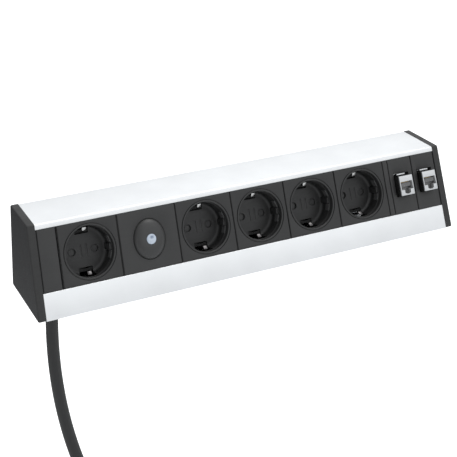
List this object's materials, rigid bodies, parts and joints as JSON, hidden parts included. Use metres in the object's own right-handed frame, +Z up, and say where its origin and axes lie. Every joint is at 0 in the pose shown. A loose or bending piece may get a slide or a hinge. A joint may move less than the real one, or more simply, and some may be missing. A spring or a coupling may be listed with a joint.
{
  "type": "desk power strip",
  "caption": "Desk power strip with a sloping front, earthed round sockets, a lit push button, data jacks, moulded end caps and a supply cable with plug.",
  "frame": {"origin": "middle of the housing's flat underside", "axes": "+X along the strip to its right end, -Y out of the front, +Z up"},
  "size_m": [0.3842, 0.1351, 0.3541],
  "materials": {
    "anodised_aluminium": "satin anodised",
    "cap_plastic": "fine moulded texture",
    "plate_plastic": "satin moulded",
    "socket_plastic": "satin moulded",
    "shutter_plastic": "satin moulded",
    "carrier_plastic": "plain moulded",
    "nickel_strip": "nickel-plated strip",
    "spring_steel": "bright drawn wire",
    "screw_steel": "zinc plated",
    "contact_brass": "stamped",
    "dome_plastic": "semi-gloss moulded",
    "button_lens": "clear frosted lens",
    "black_moulding": "plain moulded",
    "circuit_board": "solder resist",
    "jack_zinc": "nickel-plated die casting",
    "latch_steel": "spring sheet",
    "gold_contacts": "gold plated",
    "terminal_plastic": "natural polyamide",
    "brown_insulation": "flexible insulation",
    "blue_insulation": "flexible insulation",
    "green_yellow_insulation": "flexible insulation",
    "bushing_rubber": "matt moulded rubber",
    "cable_rubber": "matt sheath",
    "plug_rubber": "matt moulded",
    "pin_nickel": "nickel plated"
  },
  "bodies": {
    "strip": {"aluminium_profile": "anodised_aluminium", "left_end_cap": "cap_plastic", "right_end_cap": "cap_plastic", "blank_strip": "plate_plastic", "spacer_strip": "plate_plastic", "socket_1_cover": "socket_plastic", "socket_2_cover": "socket_plastic", "socket_3_cover": "socket_plastic", "socket_4_cover": "socket_plastic", "socket_5_cover": "socket_plastic", "socket_1_carrier": "carrier_plastic", "socket_2_carrier": "carrier_plastic", "socket_3_carrier": "carrier_plastic", "socket_4_carrier": "carrier_plastic", "socket_5_carrier": "carrier_plastic", "socket_1_earth_clip": "nickel_strip", "socket_2_earth_clip": "nickel_strip", "socket_3_earth_clip": "nickel_strip", "socket_4_earth_clip": "nickel_strip", "socket_5_earth_clip": "nickel_strip", "shutter_springs": "spring_steel", "carrier_screws": "screw_steel", "live_busbar": "contact_brass", "neutral_busbar": "contact_brass", "earth_busbar": "nickel_strip", "button_cover": "plate_plastic", "button_dome": "dome_plastic", "button_spring": "spring_steel", "switch_body": "black_moulding", "lamp_board": "circuit_board", "data_cover_1": "plate_plastic", "data_cover_2": "plate_plastic", "data_jack_1": "jack_zinc", "data_jack_2": "jack_zinc", "jack_latch_1": "latch_steel", "jack_latch_2": "latch_steel", "jack_contacts_1": "gold_contacts", "jack_contacts_2": "gold_contacts", "jack_rear_cap_1": "jack_zinc", "jack_rear_cap_2": "jack_zinc", "terminal_block": "terminal_plastic", "terminal_screws": "screw_steel", "live_lead": "brown_insulation", "neutral_lead": "blue_insulation", "earth_lead": "green_yellow_insulation", "cable_clamp": "black_moulding", "clamp_screws": "screw_steel", "cable_bushing": "bushing_rubber", "supply_cable": "cable_rubber", "plug_body": "plug_rubber", "plug_pins": "pin_nickel", "plug_earth_contacts": "nickel_strip"},
    "button": {"push_button": "button_lens"},
    "shutter_1": {"socket_1_shutter": "shutter_plastic"},
    "shutter_2": {"socket_2_shutter": "shutter_plastic"},
    "shutter_3": {"socket_3_shutter": "shutter_plastic"},
    "shutter_4": {"socket_4_shutter": "shutter_plastic"},
    "shutter_5": {"socket_5_shutter": "shutter_plastic"}
  },
  "joints": [
    {"name": "button_press", "type": "slide", "parent": "strip", "child": "button", "axis": [0, 0.9362, -0.3516], "range_m": [0, 0.0025], "stiffness_N_per_m": 120, "springref_m": -0.004, "deforming": ["button_spring"]},
    {"name": "shutter_1_turn", "type": "hinge", "parent": "strip", "child": "shutter_1", "pos_m": [-0.1443, -0.00064, 0.03478], "axis": [0, -0.9362, 0.3516], "range_deg": [0, 40], "stiffness_Nm_per_rad": 0.0004},
    {"name": "shutter_2_turn", "type": "hinge", "parent": "strip", "child": "shutter_2", "pos_m": [-0.0441, -0.00064, 0.03478], "axis": [0, -0.9362, 0.3516], "range_deg": [0, 40], "stiffness_Nm_per_rad": 0.0004},
    {"name": "shutter_3_turn", "type": "hinge", "parent": "strip", "child": "shutter_3", "pos_m": [0.006, -0.00064, 0.03478], "axis": [0, -0.9362, 0.3516], "range_deg": [0, 40], "stiffness_Nm_per_rad": 0.0004},
    {"name": "shutter_4_turn", "type": "hinge", "parent": "strip", "child": "shutter_4", "pos_m": [0.0561, -0.00064, 0.03478], "axis": [0, -0.9362, 0.3516], "range_deg": [0, 40], "stiffness_Nm_per_rad": 0.0004},
    {"name": "shutter_5_turn", "type": "hinge", "parent": "strip", "child": "shutter_5", "pos_m": [0.1062, -0.00064, 0.03478], "axis": [0, -0.9362, 0.3516], "range_deg": [0, 40], "stiffness_Nm_per_rad": 0.0004}
  ]
}
